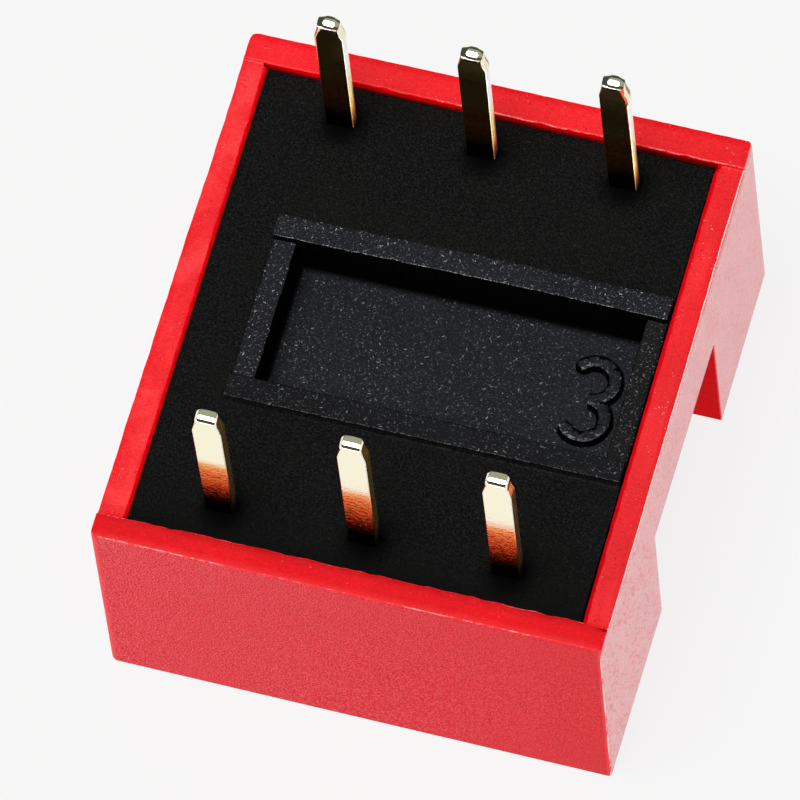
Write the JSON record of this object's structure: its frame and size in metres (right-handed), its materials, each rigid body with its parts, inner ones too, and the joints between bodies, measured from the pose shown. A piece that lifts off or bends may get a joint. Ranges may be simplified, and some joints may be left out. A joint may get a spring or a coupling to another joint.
{
  "type": "dip switch",
  "caption": "Red slide DIP switch with a black base, flat gold pins in two rows on a 2.54 mm grid, and white sliders recessed in a trough on its far side.",
  "frame": {"origin": "middle of the footprint, on the plane of the two rail faces of the slider side, which the part stands on with its pins up", "axes": "+Z from the slider side to the pin tips, +X along the rows of pins, from position 3 to position 1, and +Y across the rows, from the OFF side to the ON side"},
  "size_m": [0.0092, 0.01, 0.0086],
  "materials": {
    "cover_red": "moulded, fine satin texture",
    "base_black": "glass-filled, matte, with short bright fibres in the raised faces",
    "terminal_gold": "bright gold plating",
    "slider_white": "satin",
    "contact_gold": "gold plating"
  },
  "bodies": {
    "housing": {"cover": "cover_red", "base": "base_black", "terminal_1_front": "terminal_gold", "terminal_2_front": "terminal_gold", "terminal_3_front": "terminal_gold", "terminal_1_rear": "terminal_gold", "terminal_2_rear": "terminal_gold", "terminal_3_rear": "terminal_gold"},
    "slider_1": {"slider_1": "slider_white", "contact_1": "contact_gold"},
    "slider_2": {"slider_2": "slider_white", "contact_2": "contact_gold"},
    "slider_3": {"slider_3": "slider_white", "contact_3": "contact_gold"}
  },
  "joints": [
    {"name": "slider_1_slide", "type": "slide", "parent": "housing", "child": "slider_1", "axis": [0, 1, 0], "range_m": [0, 0.0016]},
    {"name": "slider_2_slide", "type": "slide", "parent": "housing", "child": "slider_2", "axis": [0, 1, 0], "range_m": [0, 0.0016]},
    {"name": "slider_3_slide", "type": "slide", "parent": "housing", "child": "slider_3", "axis": [0, 1, 0], "range_m": [0, 0.0016]}
  ]
}
